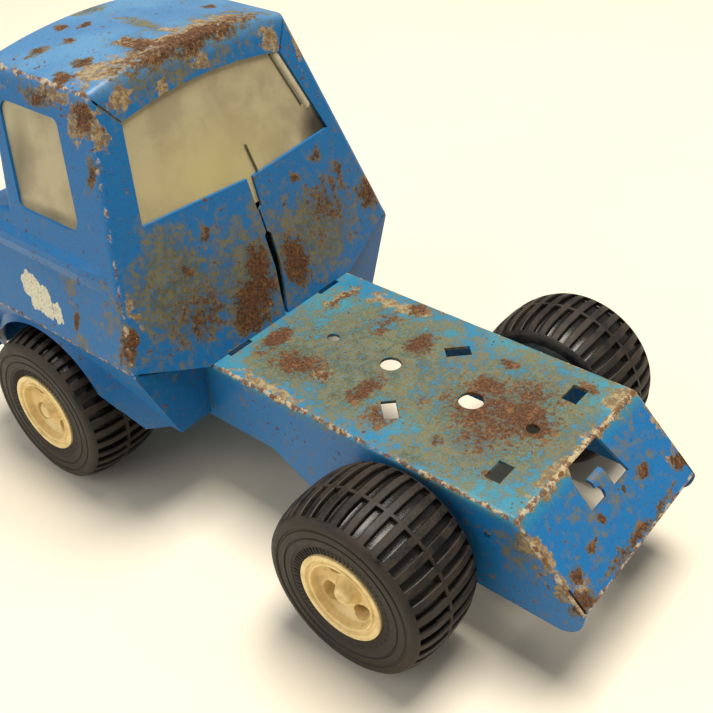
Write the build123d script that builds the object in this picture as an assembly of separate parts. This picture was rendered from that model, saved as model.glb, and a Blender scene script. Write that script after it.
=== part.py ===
from build123d import *
import math
import os

# Pressed-steel toy truck: a folded cab on a channel chassis, with two rolling wheel sets.
# +X is the truck's left, +Y its rear and +Z up. The origin is on the ground, at the centre
# of the overall box. Lengths are in millimetres.

# Overall
LENGTH = 225.0
REAR_OVERHANG = 53.9
WHEELBASE = 124.7
TAIL_Y = LENGTH / 2
REAR_AXLE_Y = TAIL_Y - REAR_OVERHANG
FRONT_AXLE_Y = REAR_AXLE_Y - WHEELBASE

# Wheels
TYRE_RADIUS = 27.0
TYRE_WIDTH = 28.4
WHEEL_FACE_X = 65.2
WHEEL_INNER_X = WHEEL_FACE_X - TYRE_WIDTH
SHOULDER_DROP = 2.7
HUB_RADIUS = 13.6
BACK_RADIUS = 20.8
BACK_RECESS = 3.0
BARREL_RADIUS = 10.3
DISH_DEPTH = 4.2
DISH_WALL = 1.6
BOSS_FOOT = 4.6
BOSS_TIP = 2.3
HUB_HOLES = 4
HUB_HOLE_TURN = 37.0
HUB_HOLE_PLACE = 7.1
AXLE_RADIUS = 2.0
AXLE_CLEARANCE = 0.06
AXLE_END_X = 61.0
SLEEVE_RADIUS = 4.5
SIDE_PLAY = 0.15

# Chassis channel
CHASSIS_SHEET = 1.0
DECK_HALF = 33.4
DECK_Z = 49.6
DECK_FOLD_Y = REAR_AXLE_Y + 32.3
TAIL_Z = 29.0
FLANGE_LOW_Z = 20.0
FLANGE_HIGH_Z = 28.4
CHASSIS_FRONT_Y = -105.6
NOTCH_FRONT = (-42.0, -30.0)
NOTCH_REAR = (6.2, 22.6)
FOLD_RADIUS = 1.8
TAIL_CORNER = 7.0

# Holes in the deck, tail and flanges: (y, radius) down the middle, (x, y) of the pairs
CENTRE_HOLES = ((3.7, 2.1), (26.4, 3.3), (55.6, 3.8), (76.1, 2.0))
SLANTED_SLOT = (17.4, 39.3)
SQUARE_SLOT = (20.3, 78.0)
TAB_SLOT = (21.5, -16.8)
TAB_WIDTH = 8.0
OPENING_DROP = 13.8
TONGUE_LEFT = -3.0
TONGUE_RIGHT = 3.5
TONGUE_TURN = 9.4
TONGUE_BEND = 3.0
TONGUE_CURL = 55.0
PIN_HOLE = 1.3
PIN_HOLE_PLACE = (REAR_AXLE_Y + 24.4, 40.4)
THROUGH = 6.0

# Cab
CAB_SHEET = 0.9
ROOF_HALF = 40.25
ROOF_SIDE_Z = 132.85
ROOF_CROWN = 4.0
ROOF_REAR_Y = -46.0
BELT_HALF = 60.1
BELT_Z = 60.3
BELT_REAR_Y = -20.7
SILL_HALF = 47.3
SILL_Z = 31.1
SILL_REAR_Y = -18.9
BACK_SLOPE = (BELT_REAR_Y - ROOF_REAR_Y) / (BELT_Z - ROOF_SIDE_Z)
SCREEN_TOP_Y = -93.9
SCREEN_TOP_Z = 130.0
SCREEN_BASE_Y = -81.9
SCREEN_BASE_Z = 92.0
SCREEN_SLOPE = (SCREEN_BASE_Y - SCREEN_TOP_Y) / (SCREEN_BASE_Z - SCREEN_TOP_Z)
NOSE_Y = CHASSIS_FRONT_Y - CAB_SHEET
HOOD_FRONT_Z = 86.0
CAB_FOLD = 2.6
ARCH_RADIUS = 31.0
FLARE_SLOPE = 0.9
FLARE_X = 60.0
BEAD_HIGH_Z = 87.5
BEAD_CREST_Z = 84.3
BEAD_LOW_Z = 80.0
BEAD_RISE = 1.5
BEAD_TAPER_Y = -44.0
BEAD_END_Y = -33.0

# Window insert, set against the inside of the cab
GLASS = 1.0
GLASS_LOW_Z = 85.0
GLASS_HIGH_Z = 129.0

# Openings in the cab
WINDOW_LOW_Z = 94.0
WINDOW_HIGH_Z = 123.6

# Bumper, grille and lamps
BUMPER_HALF = 58.0
BUMPER_LOW_Z = 29.0
BUMPER_HIGH_Z = 43.0
BUMPER_Y = -TAIL_Y
BUMPER_SWEEP = 4.0
RIVET_X = 24.0
RIVET_Z = 36.0
RIVET_RADIUS = 1.6
GRILLE_HALF = 50.0
GRILLE_LOW_Z = 50.0
GRILLE_HIGH_Z = 78.0
GRILLE_DEPTH = 2.6
GRILLE_OPEN_HALF = 34.0
LAMP_X = 42.5
LAMP_Z = 64.0
LAMP_RADIUS = 5.6


def back_y(z):
    """Y of the cab's leaning back plane at height z."""
    return BELT_REAR_Y + (z - BELT_Z) * BACK_SLOPE


def screen_y(z):
    """Y of the windscreen plane at height z."""
    return SCREEN_BASE_Y + (z - SCREEN_BASE_Z) * SCREEN_SLOPE


def side_x(z):
    """X of the cab side above the belt line at height z."""
    return BELT_HALF - (z - BELT_Z) * (BELT_HALF - ROOF_HALF) / (ROOF_SIDE_Z - BELT_Z)


def across(points, half):
    """A prism through X from an outline of (y, z) points."""
    face = make_face(Polyline(*[(y, z) for y, z in points], close=True))
    return extrude(Plane.YZ * face, half, both=True)


def along(points, y_from, y_to):
    """A prism through Y from an outline of (x, z) points."""
    face = make_face(Polyline(*[(x, -z) for x, z in points], close=True))
    plane = Plane(origin=(0, y_from, 0), x_dir=(1, 0, 0), z_dir=(0, 1, 0))
    return extrude(plane * face, y_to - y_from)


def rod_x(radius, x_from, x_to, y, z):
    """A cylinder along X."""
    plane = Plane(origin=(x_from, y, z), x_dir=(0, 1, 0), z_dir=(1, 0, 0))
    return extrude(plane * Circle(radius), x_to - x_from)


def rod_y(radius, y_from, y_to, x, z):
    """A cylinder along Y."""
    plane = Plane(origin=(x, y_from, z), x_dir=(1, 0, 0), z_dir=(0, 1, 0))
    return extrude(plane * Circle(radius), y_to - y_from)


def both_sides(shape):
    """The shape and its mirror image across the truck."""
    return shape + mirror(shape, about=Plane.YZ)


def turned(points, y):
    """A solid of revolution about the wheel axis at y, from (x, radius) points."""
    plane = Plane(origin=(0, y, TYRE_RADIUS), x_dir=(1, 0, 0), z_dir=(0, -1, 0))
    face = plane * make_face(Polyline(*points, close=True))
    return revolve(face, axis=Axis((0, y, TYRE_RADIUS), (1, 0, 0)))


# Chassis

def chassis_outline():
    """Outer side view of the channel, from the front plate round to the tail."""
    tail_low = FLANGE_LOW_Z + TAIL_CORNER
    corner_y = TAIL_Y - TAIL_CORNER
    middle = TAIL_CORNER * math.sqrt(0.5)
    return [
        Line((CHASSIS_FRONT_Y, DECK_Z), (CHASSIS_FRONT_Y, tail_low)),
        Line((CHASSIS_FRONT_Y, tail_low), (CHASSIS_FRONT_Y + TAIL_CORNER, FLANGE_LOW_Z)),
        Line((CHASSIS_FRONT_Y + TAIL_CORNER, FLANGE_LOW_Z), (NOTCH_FRONT[0], FLANGE_LOW_Z)),
        Line((NOTCH_FRONT[0], FLANGE_LOW_Z), (NOTCH_FRONT[1], FLANGE_HIGH_Z)),
        Line((NOTCH_FRONT[1], FLANGE_HIGH_Z), (NOTCH_REAR[0], FLANGE_HIGH_Z)),
        Line((NOTCH_REAR[0], FLANGE_HIGH_Z), (NOTCH_REAR[1], FLANGE_LOW_Z)),
        Line((NOTCH_REAR[1], FLANGE_LOW_Z), (corner_y, FLANGE_LOW_Z)),
        ThreePointArc((corner_y, FLANGE_LOW_Z), (corner_y + middle, tail_low - middle),
                      (TAIL_Y, tail_low)),
        Line((TAIL_Y, tail_low), (TAIL_Y, TAIL_Z)),
        Line((TAIL_Y, TAIL_Z), (DECK_FOLD_Y, DECK_Z)),
        Line((DECK_FOLD_Y, DECK_Z), (CHASSIS_FRONT_Y, DECK_Z)),
    ]


def tail_plane():
    """Plane on the tail's outer face: X across, Y down the slope from the fold."""
    down = Vector(0, TAIL_Y - DECK_FOLD_Y, TAIL_Z - DECK_Z).normalized()
    return Plane(origin=(0, DECK_FOLD_Y, DECK_Z), x_dir=(1, 0, 0), z_dir=Vector(1, 0, 0).cross(down))


def tail_opening():
    """Cut-out below the tail fold."""
    window = make_face(Polyline((-8.4, 0.6), (7.4, 0.6), (9.5, 4.5), (9.5, OPENING_DROP),
                                (-11.0, OPENING_DROP), close=True))
    return extrude(tail_plane() * window, 4, both=True)


def tail_tongue():
    """Tongue that stands in the tail's cut-out and curls inward, wider at its top than its neck."""
    steps = 6
    outer = []
    inner = []
    for k in range(steps + 1):
        angle = math.radians(TONGUE_CURL * k / steps)
        for line, radius in ((outer, TONGUE_BEND), (inner, TONGUE_BEND - CHASSIS_SHEET)):
            line.append((TONGUE_TURN - radius * math.sin(angle),
                         radius * math.cos(angle) - TONGUE_BEND))
    root = OPENING_DROP + 0.5
    profile = [(root, 0)] + outer + inner[::-1] + [(root, -CHASSIS_SHEET)]
    down = tail_plane().y_dir
    plane = Plane(origin=(TONGUE_LEFT, DECK_FOLD_Y, DECK_Z), x_dir=down, z_dir=(1, 0, 0))
    strip = extrude(plane * make_face(Polyline(*profile, close=True)), TONGUE_RIGHT - TONGUE_LEFT)
    notch = Pos(TONGUE_RIGHT, OPENING_DROP - 1.6) * Ellipse(2.0, 2.2)
    notch += Pos(TONGUE_RIGHT, OPENING_DROP) * Rectangle(3.0, 3.0)
    return strip - extrude(tail_plane() * notch, 3, both=True)


def deck_cutters():
    """Round holes down the deck's centre line and pairs of slots beside it."""
    cut = Part()
    for y, radius in CENTRE_HOLES:
        cut += Pos(0, y, DECK_Z) * Cylinder(radius, THROUGH)
    slanted = Pos(*SLANTED_SLOT, DECK_Z) * Rot(0, 0, 45) * Box(8.0, 4.5, THROUGH)
    square = Pos(*SQUARE_SLOT, DECK_Z) * Box(7.8, 4.8, THROUGH)
    tab_slot = Pos(*TAB_SLOT, DECK_Z) * Box(TAB_WIDTH + 1.6, 2.6, THROUGH)
    return cut + both_sides(slanted) + both_sides(square) + both_sides(tab_slot)


def chassis():
    """Channel pressed from one sheet, open below, with sloping tail and upright front plate."""
    side = make_face(Wire(chassis_outline()))
    body = extrude(Plane.YZ * side, DECK_HALF, both=True)
    top = body.edges().filter_by(Axis.Y).group_by(Axis.Z)[-1]
    tail = body.edges().filter_by(lambda e: abs(e.tangent_at(0.5).X) < 0.1
                                  and e.center().Y > DECK_FOLD_Y and e.center().Z > 35)
    folds = body.edges().filter_by(Axis.X).group_by(Axis.Z)[-1]
    body = fillet(top + tail + folds, FOLD_RADIUS)
    down = tail_plane().y_dir
    inward = -tail_plane().z_dir * CHASSIS_SHEET
    if inward.Z > 0:
        inward = inward * -1
    start = Vector(0, DECK_FOLD_Y, DECK_Z) + inward
    roof_z = DECK_Z - CHASSIS_SHEET
    bend = start + down * ((roof_z - start.Z) / down.Z)
    lip = Vector(0, TAIL_Y, TAIL_Z) + inward
    front_y = CHASSIS_FRONT_Y + CHASSIS_SHEET
    hollow = across([(front_y, roof_z), (bend.Y, roof_z), (lip.Y, lip.Z), (TAIL_Y, TAIL_Z),
                     (TAIL_Y + 9, TAIL_Z), (TAIL_Y + 9, 5), (front_y, 5)],
                    DECK_HALF - CHASSIS_SHEET)
    body -= hollow
    body -= deck_cutters()
    body -= tail_opening()
    body += tail_tongue()
    slit = tail_plane() * (Pos(DECK_HALF - 1.35, 26.5) * Box(0.7, 9, 5))
    body -= both_sides(slit)
    for y in (FRONT_AXLE_Y, REAR_AXLE_Y):
        body -= rod_x(AXLE_RADIUS + AXLE_CLEARANCE, -40, 40, y, TYRE_RADIUS)
    body -= rod_x(PIN_HOLE, -40, 40, *PIN_HOLE_PLACE)
    for x in (-RIVET_X, RIVET_X):
        body -= rod_y(RIVET_RADIUS, CHASSIS_FRONT_Y - 2, CHASSIS_FRONT_Y + 4, x, RIVET_Z)
    return body


# Cab

def cab_section(inset):
    """Cross-section of the cab, each wall moved in by inset."""
    roof = ThreePointArc((ROOF_HALF, -ROOF_SIDE_Z), (0, -ROOF_SIDE_Z - ROOF_CROWN),
                         (-ROOF_HALF, -ROOF_SIDE_Z))
    walls = Polyline((-ROOF_HALF, -ROOF_SIDE_Z), (-BELT_HALF, -BELT_Z), (-SILL_HALF, -SILL_Z),
                     (SILL_HALF, -SILL_Z), (BELT_HALF, -BELT_Z), (ROOF_HALF, -ROOF_SIDE_Z))
    face = make_face([roof] + list(walls.edges()))
    if inset:
        face = offset(face, amount=-inset, kind=Kind.INTERSECTION)
    plane = Plane(origin=(0, NOSE_Y - 10, 0), x_dir=(1, 0, 0), z_dir=(0, 1, 0))
    return extrude(plane * face, 110)


def cab_profile(inset):
    """Side view of the cab, each wall moved in by inset."""
    above = ROOF_SIDE_Z + ROOF_CROWN + 3
    points = [(back_y(above), above), (screen_y(above), above), (SCREEN_BASE_Y, SCREEN_BASE_Z),
              (NOSE_Y + 3, HOOD_FRONT_Z), (NOSE_Y, HOOD_FRONT_Z - 5), (NOSE_Y, SILL_Z),
              (SILL_REAR_Y, SILL_Z), (BELT_REAR_Y, BELT_Z)]
    face = make_face(Polyline(*points, close=True))
    if inset:
        face = offset(face, amount=-inset, kind=Kind.INTERSECTION)
    return extrude(Plane.YZ * face, 90, both=True)


def cab_block(inset):
    """Solid of the cab's outer shape, moved in by inset, with its folds rounded."""
    block = cab_section(inset) & cab_profile(inset)
    soft = block.edges().filter_by(is_soft_fold)
    return fillet(soft, CAB_FOLD - inset)


def is_soft_fold(edge):
    """True for every fold but the belt line and those at and below the back of the belt."""
    centre = edge.center()
    belt_line = abs(centre.Z - BELT_Z) < 2.0
    bottom = centre.Z < SILL_Z + 3.0
    flap = centre.Y > BELT_REAR_Y - 2.0 and centre.Z < BELT_Z + 2.0
    valley = abs(centre.X) < 1.0 and abs(centre.Z - SCREEN_BASE_Z) < 2.0
    return not (belt_line or bottom or flap or valley)


def flare(inset):
    """Cone that swells the cab's sides round the wheel arches, cut off at the belt line."""
    grow = (FLARE_X - 40) * FLARE_SLOPE
    cone = turned([(40, 0), (40, ARCH_RADIUS + grow), (FLARE_X, ARCH_RADIUS), (FLARE_X, 0)],
                  FRONT_AXLE_Y)
    low = SILL_Z if inset == 0 else SILL_Z - 5
    limit = [(30, low), (53.0 - inset, low), (FLARE_X - inset, 44), (FLARE_X - inset, BELT_Z - 1),
             (30, BELT_Z - 1)]
    shrunk = cone if inset == 0 else turned(
        [(35, 0), (35, ARCH_RADIUS + grow + 5 * FLARE_SLOPE - inset),
         (FLARE_X, ARCH_RADIUS - inset), (FLARE_X, 0)], FRONT_AXLE_Y)
    return both_sides(shrunk & along(limit, NOSE_Y + 1 + inset, SILL_REAR_Y - 1 - inset))


def bead_section(rise):
    """Section of the moulding below the side windows, proud of the cab side by rise."""
    root = 3.0
    return [(side_x(BEAD_HIGH_Z) - root, BEAD_HIGH_Z), (side_x(BEAD_HIGH_Z), BEAD_HIGH_Z),
            (side_x(BEAD_CREST_Z + 1) + rise, BEAD_CREST_Z + 1),
            (side_x(BEAD_CREST_Z - 1) + rise, BEAD_CREST_Z - 1),
            (side_x(BEAD_LOW_Z), BEAD_LOW_Z), (side_x(BEAD_LOW_Z) - root, BEAD_LOW_Z)]


def belt_bead():
    """Pressed moulding along each side below the windows, tapering out towards the back."""
    ends = []
    for y, rise in ((BEAD_TAPER_Y, BEAD_RISE), (BEAD_END_Y, 0.02)):
        plane = Plane(origin=(0, y, 0), x_dir=(1, 0, 0), z_dir=(0, 1, 0))
        outline = [(x, -z) for x, z in bead_section(rise)]
        ends.append(plane * make_face(Polyline(*outline, close=True)))
    bead = along(bead_section(BEAD_RISE), NOSE_Y + 8, BEAD_TAPER_Y) + loft(ends, ruled=True)
    return both_sides(bead)


def back_window():
    """Opening in the leaning back panel, bowed above and slightly dished below."""
    outline = [
        Line((32.5, -123.0), (38.6, -95.4)),
        Line((38.6, -95.4), (-5.9, -93.0)),
        Line((-5.9, -93.0), (-44.0, -95.4)),
        Line((-44.0, -95.4), (-33.4, -123.0)),
        ThreePointArc((-33.4, -123.0), (0, -126.0), (32.5, -123.0)),
    ]
    plane = Plane(origin=(0, -60, 0), x_dir=(1, 0, 0), z_dir=(0, 1, 0))
    return extrude(plane * make_face(Wire(outline)), 50)


def back_seams():
    """Mitre seams beside the roof flange and the open seam down the middle of the back."""
    seams = Part()
    for corner, top in ((32.5, 39.0), (-33.4, -39.0)):
        line = [(corner, 122.2), (corner, 123.4), (top, 131.4), (top, 130.4)]
        seams += along(line, -55, -38)
    middle = [(-6.4, 94), (-3.6, 94), (-3.6, 84), (-4.0, 83), (-4.0, 76), (-3.0, 75), (-3.0, 65),
              (-1.6, 57), (-0.7, 51), (-0.7, 48), (-2.1, 48), (-2.1, 51), (-3.9, 57), (-5.6, 65),
              (-6.0, 75), (-4.7, 76), (-4.7, 83), (-6.0, 84)]
    return seams + along(middle, -40, -8)


def side_window():
    """Forward-leaning side opening, through both sides."""
    outline = make_face(Polyline((-46.1, WINDOW_LOW_Z), (-58.6, WINDOW_HIGH_Z),
                                 (-86.4, WINDOW_HIGH_Z), (-74.3, WINDOW_LOW_Z), close=True))
    rounded = fillet(outline.vertices(), 3.0)
    return extrude(Plane.YZ * rounded, 70, both=True)


def windscreen():
    """Opening in the forward-leaning front."""
    outline = make_face(Polyline((40, -97), (34, -125), (-34, -125), (-40, -97), close=True))
    plane = Plane(origin=(0, -100, 0), x_dir=(1, 0, 0), z_dir=(0, 1, 0))
    return extrude(plane * fillet(outline.vertices(), 4.0), 25)


def back_skirt():
    """The leaning back panel's lower part, tapering to the width of the deck."""
    top = BELT_Z + 2
    foot = DECK_Z + 0.05
    outline = [(-BELT_HALF + 1.0, BELT_Z), (-BELT_HALF + 3.5, top), (BELT_HALF - 3.5, top),
               (BELT_HALF - 1.0, BELT_Z), (DECK_HALF + 1.0, foot), (-DECK_HALF - 1.0, foot)]
    strip = across(back_strip(top, foot), BELT_HALF)
    panel = along(outline, -30, 0) & strip
    tab_top = foot + 0.5
    tab_foot = DECK_Z - 3.5
    tab_in = TAB_SLOT[0] - TAB_WIDTH / 2
    tab_out = TAB_SLOT[0] + TAB_WIDTH / 2
    tab = along([(tab_in, tab_top), (tab_out, tab_top), (tab_out, tab_foot), (tab_in, tab_foot)],
                -30, 0)
    tab &= across([(back_y(foot) - CAB_SHEET, tab_top), (back_y(foot), tab_top),
                   (back_y(foot), tab_foot), (back_y(foot) - CAB_SHEET, tab_foot)], BELT_HALF)
    return panel + both_sides(tab)


def back_strip(z_high, z_low):
    """Side view of the sheet in the back plane between two heights."""
    lean = math.hypot(1.0, BACK_SLOPE) * CAB_SHEET
    return [(back_y(z_high), z_high), (back_y(z_low), z_low), (back_y(z_low) - lean, z_low),
            (back_y(z_high) - lean, z_high)]


def skirt_clearance():
    """Space cut from the upright flaps for the skirt above them and the chassis between them."""
    gap = 0.8
    outline = [(-BELT_HALF + 2, BELT_Z), (BELT_HALF - 2, BELT_Z), (BELT_HALF - 2, BELT_Z - 1.2),
               (DECK_HALF + 1, DECK_Z - gap), (DECK_HALF + 1, SILL_Z - 5),
               (-DECK_HALF - 1, SILL_Z - 5), (-DECK_HALF - 1, DECK_Z - gap),
               (-BELT_HALF + 2, BELT_Z - 1.2)]
    return along(outline, -24, -15)


def cab_shell():
    """The cab, folded from one sheet and open below."""
    shell = cab_block(0) + flare(0) + belt_bead()
    below = Pos(0, (NOSE_Y + SILL_REAR_Y) / 2, SILL_Z) * Box(
        2 * SILL_HALF - 2 * CAB_SHEET, SILL_REAR_Y - NOSE_Y - 2 * CAB_SHEET, 4)
    shell -= cab_block(CAB_SHEET) + flare(CAB_SHEET) + below
    shell -= skirt_clearance()
    shell += back_skirt()
    shell -= both_sides(rod_x(ARCH_RADIUS, 40, 75, FRONT_AXLE_Y, TYRE_RADIUS))
    shell -= back_window() + back_seams() + side_window() + windscreen()
    opening = Pos(0, NOSE_Y, LAMP_Z) * Box(2 * GRILLE_OPEN_HALF, 8, 20)
    shell -= opening
    for x in (-RIVET_X, RIVET_X):
        shell -= rod_y(RIVET_RADIUS, NOSE_Y - 2, NOSE_Y + 2, x, RIVET_Z)
    return shell


def window_insert():
    """One clear moulding that lines all the cab's windows from inside."""
    screen_low = SCREEN_BASE_Z + 0.3
    band = across([(-20, GLASS_LOW_Z), (-76, GLASS_LOW_Z), (-79, screen_low), (-110, screen_low),
                   (-110, GLASS_HIGH_Z), (-20, GLASS_HIGH_Z)], 70)
    return (cab_block(CAB_SHEET) - cab_block(CAB_SHEET + GLASS)) & band


# Front end

def front_bumper():
    """Pressed channel across the nose, with two dimples that take its rivets."""
    sheet = 1.0
    outer = [(-BUMPER_HALF, -BUMPER_Y - BUMPER_SWEEP), (-44, -BUMPER_Y), (44, -BUMPER_Y),
             (BUMPER_HALF, -BUMPER_Y - BUMPER_SWEEP), (BUMPER_HALF, 0.4 - NOSE_Y),
             (-BUMPER_HALF, 0.4 - NOSE_Y)]
    plan = make_face(Polyline(*[(x, -y) for x, y in outer], close=True))
    height = BUMPER_HIGH_Z - BUMPER_LOW_Z
    block = extrude(Pos(0, 0, BUMPER_LOW_Z) * plan, height)
    front = block.edges().filter_by(lambda e: e.center().Y < BUMPER_Y + 3
                                    and abs(e.tangent_at(0.5).Z) < 0.1)
    block = fillet(front, 1.6)
    inner_plan = offset(plan, amount=-sheet, kind=Kind.INTERSECTION)
    hollow = extrude(Pos(0, 6, BUMPER_LOW_Z + sheet) * inner_plan, height - 2 * sheet)
    hollow += extrude(Pos(0, 0, BUMPER_LOW_Z + sheet) * inner_plan, height - 2 * sheet)
    body = block - hollow
    for x in (-RIVET_X, RIVET_X):
        body += rod_y(5.0, BUMPER_Y + 0.2, NOSE_Y, x, RIVET_Z)
        body -= rod_y(4.0, BUMPER_Y - 1, NOSE_Y - sheet, x, RIVET_Z)
        body -= rod_y(RIVET_RADIUS, NOSE_Y - 3, NOSE_Y + 1, x, RIVET_Z)
    return body


def bumper_rivets():
    """Rivets that clamp bumper, cab and chassis together: domed head, shank and rolled tail."""
    shank_end = CHASSIS_FRONT_Y + CHASSIS_SHEET
    head_y = NOSE_Y - 1.0
    pair = []
    for x in (-RIVET_X, RIVET_X):
        head = rod_y(3.0, head_y - 1.2, head_y, x, RIVET_Z)
        head = fillet(head.edges().group_by(Axis.Y)[0], 1.0)
        tail = rod_y(2.4, shank_end, shank_end + 0.9, x, RIVET_Z)
        shank = rod_y(RIVET_RADIUS, head_y - 0.2, shank_end + 0.2, x, RIVET_Z)
        pair.append(head + shank + tail)
    return Compound(children=pair)


def grille():
    """Moulded panel on the nose: four bars between two lamp bezels."""
    mid_z = (GRILLE_LOW_Z + GRILLE_HIGH_Z) / 2
    height = GRILLE_HIGH_Z - GRILLE_LOW_Z
    frame_y = NOSE_Y - GRILLE_DEPTH / 2
    panel = Pos(0, frame_y, mid_z) * Box(2 * GRILLE_HALF, GRILLE_DEPTH, height)
    panel = fillet(panel.edges().filter_by(Axis.Y), 5.0)
    panel = fillet(panel.edges().group_by(Axis.Y)[0], 0.8)
    field = Pos(0, frame_y, mid_z) * Box(2 * GRILLE_OPEN_HALF - 4, 2 * GRILLE_DEPTH, 17)
    field = fillet(field.edges().filter_by(Axis.Y), 2.0)
    panel -= field
    for k in range(4):
        z = mid_z + (k - 1.5) * 4.3
        panel += Pos(0, frame_y + 0.3, z) * Box(2 * GRILLE_OPEN_HALF - 3, GRILLE_DEPTH - 0.6, 1.8)
    panel += Pos(0, frame_y + 0.3, mid_z) * Box(2.4, GRILLE_DEPTH - 0.6, 18)
    lug = Pos(GRILLE_OPEN_HALF - 1.1, NOSE_Y + 1.0, mid_z) * Box(2.0, 2.4, 19.6)
    panel += both_sides(lug)
    for x in (-LAMP_X, LAMP_X):
        panel += rod_y(LAMP_RADIUS + 1.6, NOSE_Y - GRILLE_DEPTH - 0.9, NOSE_Y, x, LAMP_Z)
        panel -= rod_y(LAMP_RADIUS, NOSE_Y - 6, NOSE_Y - 0.8, x, LAMP_Z)
    return panel


def headlight(side):
    """Domed lens seated in a bezel."""
    lens = rod_y(LAMP_RADIUS, NOSE_Y - GRILLE_DEPTH - 1.8, NOSE_Y - 0.8, side * LAMP_X, LAMP_Z)
    return fillet(lens.edges().group_by(Axis.Y)[0], 1.6)


# Wheels

def on_side(points, side):
    """Points (x, radius) for the left wheel, mirrored for the right one."""
    return [(side * x, radius) for x, radius in points]


def tyre(side, y):
    """Wide soft tyre with crowned tread, a rib round its middle and a recessed inner face."""
    middle = (WHEEL_FACE_X + WHEEL_INNER_X) / 2
    half = TYRE_WIDTH / 2
    outline = [(WHEEL_INNER_X + BACK_RECESS, HUB_RADIUS)]
    outline.append((WHEEL_INNER_X + BACK_RECESS, BACK_RADIUS))
    outline.append((WHEEL_INNER_X, BACK_RADIUS))
    steps = 8
    for k in range(-steps, steps + 1):
        t = k / steps
        drop = SHOULDER_DROP * abs(t) ** 3
        groove = 0.5 if k in (1, -1) else 0.0
        outline.append((middle + t * half, TYRE_RADIUS - drop - groove))
    outline.append((WHEEL_FACE_X, HUB_RADIUS))
    return turned(on_side(outline, side), y)


def hub(side, y):
    """Dished wheel centre with lightening holes and a tapered blind boss that grips the axle."""
    face = WHEEL_FACE_X
    dish = face - DISH_DEPTH
    back = dish - DISH_WALL
    inner = WHEEL_INNER_X + BACK_RECESS
    outline = [(face, HUB_RADIUS), (face, 11.9), (face - 0.8, 11.6), (face - 0.8, 10.9),
               (face - 0.3, 10.7), (face - 0.3, 10.2), (dish + 1.2, 9.2), (dish, 7.5),
               (dish, BOSS_FOOT), (face - 0.6, BOSS_TIP), (face - 0.6, 0), (AXLE_END_X, 0),
               (AXLE_END_X, AXLE_RADIUS), (inner, AXLE_RADIUS), (inner, SLEEVE_RADIUS),
               (back, SLEEVE_RADIUS), (back, BARREL_RADIUS), (inner, BARREL_RADIUS),
               (inner, HUB_RADIUS)]
    body = turned(on_side(outline, side), y)
    for k in range(HUB_HOLES):
        angle = math.radians(HUB_HOLE_TURN + 360 * k / HUB_HOLES)
        hole_y = y + HUB_HOLE_PLACE * math.cos(angle)
        hole_z = TYRE_RADIUS + HUB_HOLE_PLACE * math.sin(angle)
        plane = Plane(origin=(0, hole_y, hole_z), x_dir=(0, math.cos(angle), math.sin(angle)),
                      z_dir=(1, 0, 0))
        body -= extrude(plane * Ellipse(2.0, 2.9), side * (face + 2))
    return body


def wheel_back(side, y):
    """Grey disc that closes the tyre's inner face, with a sleeve that spaces it off the chassis."""
    disc_x = WHEEL_INNER_X + BACK_RECESS
    sleeve_x = DECK_HALF + SIDE_PLAY
    outline = [(disc_x, AXLE_RADIUS), (disc_x, BACK_RADIUS), (disc_x - 1.6, BACK_RADIUS),
               (disc_x - 1.6, 8.0), (disc_x - 2.4, SLEEVE_RADIUS), (sleeve_x, SLEEVE_RADIUS),
               (sleeve_x, AXLE_RADIUS)]
    return turned(on_side(outline, side), y)


def axle(y):
    """Plain steel axle with chamfered ends."""
    shaft = rod_x(AXLE_RADIUS, -AXLE_END_X, AXLE_END_X, y, TYRE_RADIUS)
    return chamfer(shaft.edges().filter_by(GeomType.CIRCLE), 0.4)


def parts():
    """Every named piece with its solid."""
    pieces = {
        "chassis": chassis(),
        "cab_shell": cab_shell(),
        "window_insert": window_insert(),
        "grille": grille(),
        "headlight_left": headlight(1),
        "headlight_right": headlight(-1),
        "front_bumper": front_bumper(),
        "bumper_rivets": bumper_rivets(),
    }
    for end, y in (("front", FRONT_AXLE_Y), ("rear", REAR_AXLE_Y)):
        pieces[end + "_axle"] = axle(y)
        for side_name, side in (("left", 1), ("right", -1)):
            place = end + "_" + side_name
            pieces["tyre_" + place] = tyre(side, y)
            pieces["hub_" + place] = hub(side, y)
            pieces["wheel_back_" + place] = wheel_back(side, y)
    return pieces


os.makedirs("parts", exist_ok=True)
for name, shape in parts().items():
    export_step(shape, os.path.join("parts", name + ".step"))
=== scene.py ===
"""A worn pressed-steel toy truck: looks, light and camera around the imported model. Metres."""
import math

import bmesh
import bpy
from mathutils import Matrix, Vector

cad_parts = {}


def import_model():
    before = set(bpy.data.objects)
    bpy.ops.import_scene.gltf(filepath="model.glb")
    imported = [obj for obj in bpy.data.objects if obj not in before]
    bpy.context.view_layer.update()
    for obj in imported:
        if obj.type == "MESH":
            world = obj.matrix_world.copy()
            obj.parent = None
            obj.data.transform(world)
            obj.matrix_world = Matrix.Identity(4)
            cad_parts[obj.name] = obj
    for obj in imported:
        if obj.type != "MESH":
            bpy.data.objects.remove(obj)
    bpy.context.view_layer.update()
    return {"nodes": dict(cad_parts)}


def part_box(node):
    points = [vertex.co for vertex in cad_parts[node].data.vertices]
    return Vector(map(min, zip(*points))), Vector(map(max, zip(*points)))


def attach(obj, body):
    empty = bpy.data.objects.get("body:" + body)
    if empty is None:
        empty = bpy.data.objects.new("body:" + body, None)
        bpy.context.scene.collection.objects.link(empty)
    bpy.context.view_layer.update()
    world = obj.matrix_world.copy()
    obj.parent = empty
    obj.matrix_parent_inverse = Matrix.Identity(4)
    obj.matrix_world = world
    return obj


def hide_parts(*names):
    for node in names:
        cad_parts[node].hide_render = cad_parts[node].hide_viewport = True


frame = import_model()

MM = 0.001
scene = bpy.context.scene


# Places on the truck, in millimetres, as (x to its left, y to its rear, z up) ------------------

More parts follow.
